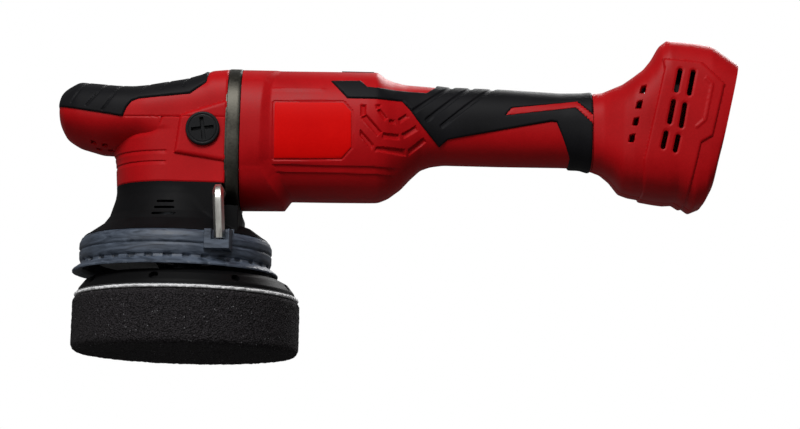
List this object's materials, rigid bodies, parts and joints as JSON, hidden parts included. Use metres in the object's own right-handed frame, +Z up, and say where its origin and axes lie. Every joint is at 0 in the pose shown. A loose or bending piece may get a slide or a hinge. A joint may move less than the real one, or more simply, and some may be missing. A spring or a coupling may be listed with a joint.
{
  "type": "dual action polisher",
  "caption": "Cordless dual action polisher: round foam pad on an eccentric spindle, bevel gear head with palm grip, motor barrel, slim handle and battery foot.",
  "frame": {"origin": "on the output spindle's fixed axis, in the plane of the pad's working face; at rest the pad's own axis lies one orbit radius towards +X", "axes": "+X to the rear along the handle, +Y to the right side of the tool, +Z up away from the working face"},
  "size_m": [0.4191, 0.1406, 0.2009],
  "materials": {
    "foam_charcoal": "open cell foam",
    "loop_white": "brushed loop fleece",
    "hook_black": "moulded hook tape",
    "plate_black": "moulded polyurethane",
    "skirt_black": "moulded glass-filled nylon",
    "shroud_grey": "moulded soft rubber",
    "housing_red": "satin moulded nylon",
    "label_red": "gloss printed film",
    "grip_black": "moulded elastomer, fine grain",
    "trim_black": "moulded plastic",
    "cast_alloy": "die cast, dark coating",
    "hub_alloy": "turned",
    "bearing_steel": "ground",
    "gear_steel": "hardened",
    "lamination_steel": "stacked laminations",
    "zinc_screw": "zinc plated",
    "key_steel": "bright nickel plated",
    "copper_wire": "enamelled copper",
    "terminal_brass": "stamped",
    "board_green": "glass epoxy board"
  },
  "bodies": {
    "housing": {"spindle_bearing_lower": "bearing_steel", "spindle_bearing_upper": "bearing_steel", "gear_housing": "cast_alloy", "nose_cover": "housing_red", "palm_grip": "grip_black", "neck_cover": "housing_red", "cap_left": "trim_black", "cap_right": "trim_black", "head_skirt": "skirt_black", "skirt_screws": "zinc_screw", "rubber_shroud": "shroud_grey", "motor_bearing_front": "bearing_steel", "motor_bearing_rear": "bearing_steel", "stator_core": "lamination_steel", "stator_windings": "copper_wire", "motor_sleeve": "trim_black", "motor_bulkhead": "trim_black", "body_left": "housing_red", "body_right": "housing_red", "label_left": "label_red", "label_right": "label_red", "handle_grip_left": "grip_black", "handle_grip_right": "grip_black", "foot_left": "housing_red", "foot_right": "housing_red", "housing_screws": "zinc_screw", "switch_module": "trim_black", "dial_control": "board_green", "control_board": "board_green", "battery_bay": "trim_black", "battery_terminals": "terminal_brass", "gearbox_screws": "zinc_screw"},
    "eccentric": {"counterweight": "gear_steel", "main_spindle": "bearing_steel", "bevel_gear": "gear_steel", "gear_retaining_nut": "gear_steel", "pad_bearing_lower": "bearing_steel", "pad_bearing_upper": "bearing_steel"},
    "pad": {"foam_pad": "foam_charcoal", "pad_loop_backing": "loop_white", "hook_disc": "hook_black", "backing_plate": "plate_black", "plate_hub": "hub_alloy", "plate_screw": "zinc_screw", "pad_spindle": "bearing_steel"},
    "motor_rotor": {"bevel_pinion": "gear_steel", "motor_shaft": "bearing_steel", "rotor": "lamination_steel", "cooling_fan": "trim_black"},
    "power_switch": {"switch_slider": "trim_black"},
    "dial_wheel": {"speed_dial": "trim_black"},
    "key": {"hex_key": "key_steel"}
  },
  "joints": [
    {"name": "orbit_spin", "type": "hinge", "parent": "housing", "child": "eccentric", "pos_m": [0, 0, 0.1], "axis": [0, 0, 1], "continuous": true},
    {"name": "pad_spin", "type": "hinge", "parent": "eccentric", "child": "pad", "pos_m": [0.0075, 0, 0.05], "axis": [0, 0, 1], "continuous": true},
    {"name": "rotor_spin", "type": "hinge", "parent": "housing", "child": "motor_rotor", "pos_m": [0.07, 0, 0.138], "axis": [1, 0, 0], "continuous": true},
    {"name": "switch_slide", "type": "slide", "parent": "housing", "child": "power_switch", "axis": [-1, 0, 0], "range_m": [0, 0.006]},
    {"name": "dial_turn", "type": "hinge", "parent": "housing", "child": "dial_wheel", "pos_m": [0.314, 0, 0.19], "axis": [0, 1, 0], "range_deg": [0, 270]},
    {"name": "key_pull", "type": "slide", "parent": "housing", "child": "key", "axis": [0, -1, 0], "range_m": [0, 0.076]}
  ],
  "couplings": [
    {"joint": "rotor_spin", "follows": "orbit_spin", "ratio": 2.5}
  ]
}
